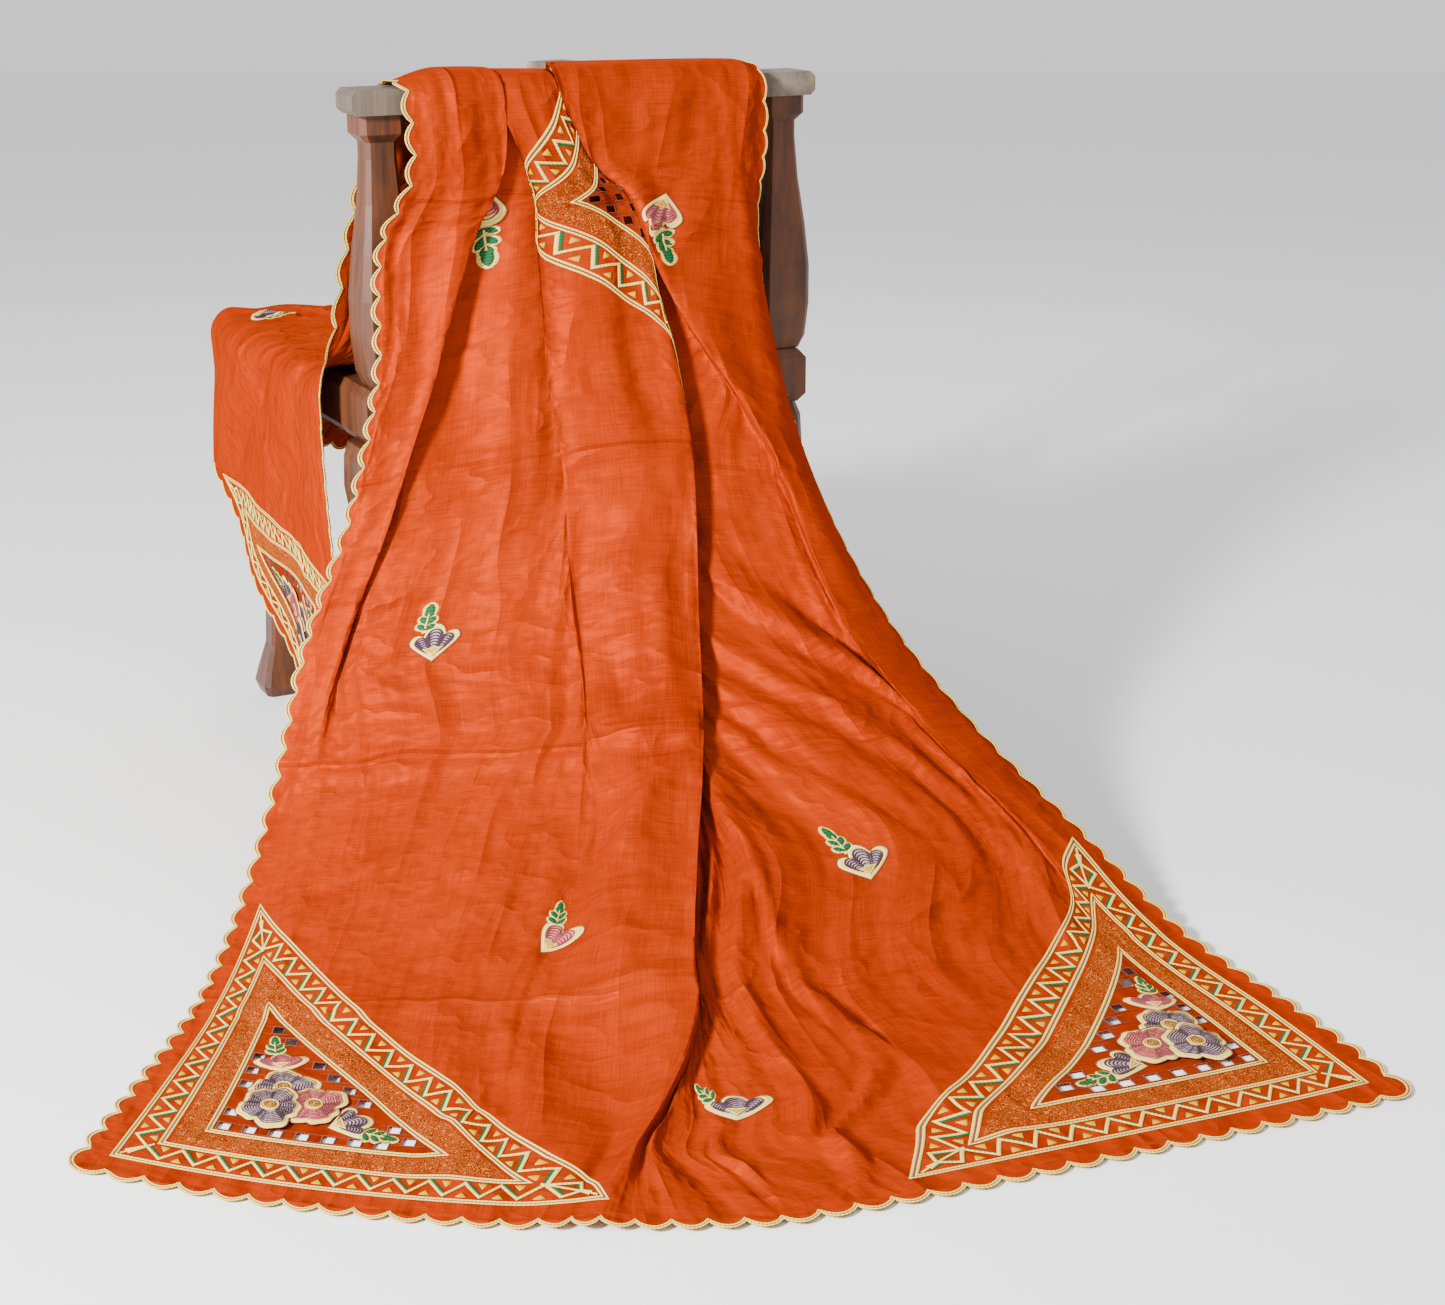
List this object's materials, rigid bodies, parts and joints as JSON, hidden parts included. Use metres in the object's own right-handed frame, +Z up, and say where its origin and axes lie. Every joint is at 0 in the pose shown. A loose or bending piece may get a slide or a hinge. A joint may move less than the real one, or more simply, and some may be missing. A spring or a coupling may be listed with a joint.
{
  "type": "embroidered dupatta draped over a wooden corner chair",
  "caption": "Burnt orange silk shawl with embroidered corner panels, scattered flowers and a scalloped rim, draped over the rail of a plain wooden corner chair and spread on the floor",
  "frame": {"origin": "middle of the footprint, at the floor", "axes": "+Z up, -Y towards the viewer of the picture's side where the front hem lies, +X to the viewer's right"},
  "size_m": [1.107, 1.3096, 0.7267],
  "materials": {
    "chair_seat": "dark stained",
    "chair_near_rail": "worn satin",
    "chair_side_rail": "worn satin",
    "chair_post_left": "dark stained",
    "chair_post_right": "dark stained",
    "chair_post_far": "dark stained",
    "chair_leg_left": "dark stained",
    "chair_leg_far_left": "dark stained",
    "chair_leg_far_right": "dark stained",
    "chair_leg_right": "dark stained",
    "cloth_front_spread": "soft silk sheen",
    "cloth_front_fall": "soft silk sheen",
    "cloth_rail_saddle": "soft silk sheen",
    "cloth_far_fall": "soft silk sheen",
    "cloth_seat_drape": "soft silk sheen"
  },
  "bodies": {
    "root": {"chair_seat": "chair_seat", "chair_near_rail": "chair_near_rail", "chair_side_rail": "chair_side_rail", "chair_post_left": "chair_post_left", "chair_post_right": "chair_post_right", "chair_post_far": "chair_post_far", "chair_leg_left": "chair_leg_left", "chair_leg_far_left": "chair_leg_far_left", "chair_leg_far_right": "chair_leg_far_right", "chair_leg_right": "chair_leg_right", "cloth_front_spread": "cloth_front_spread", "cloth_front_fall": "cloth_front_fall", "cloth_rail_saddle": "cloth_rail_saddle", "cloth_far_fall": "cloth_far_fall", "cloth_seat_drape": "cloth_seat_drape"}
  },
  "joints": []
}
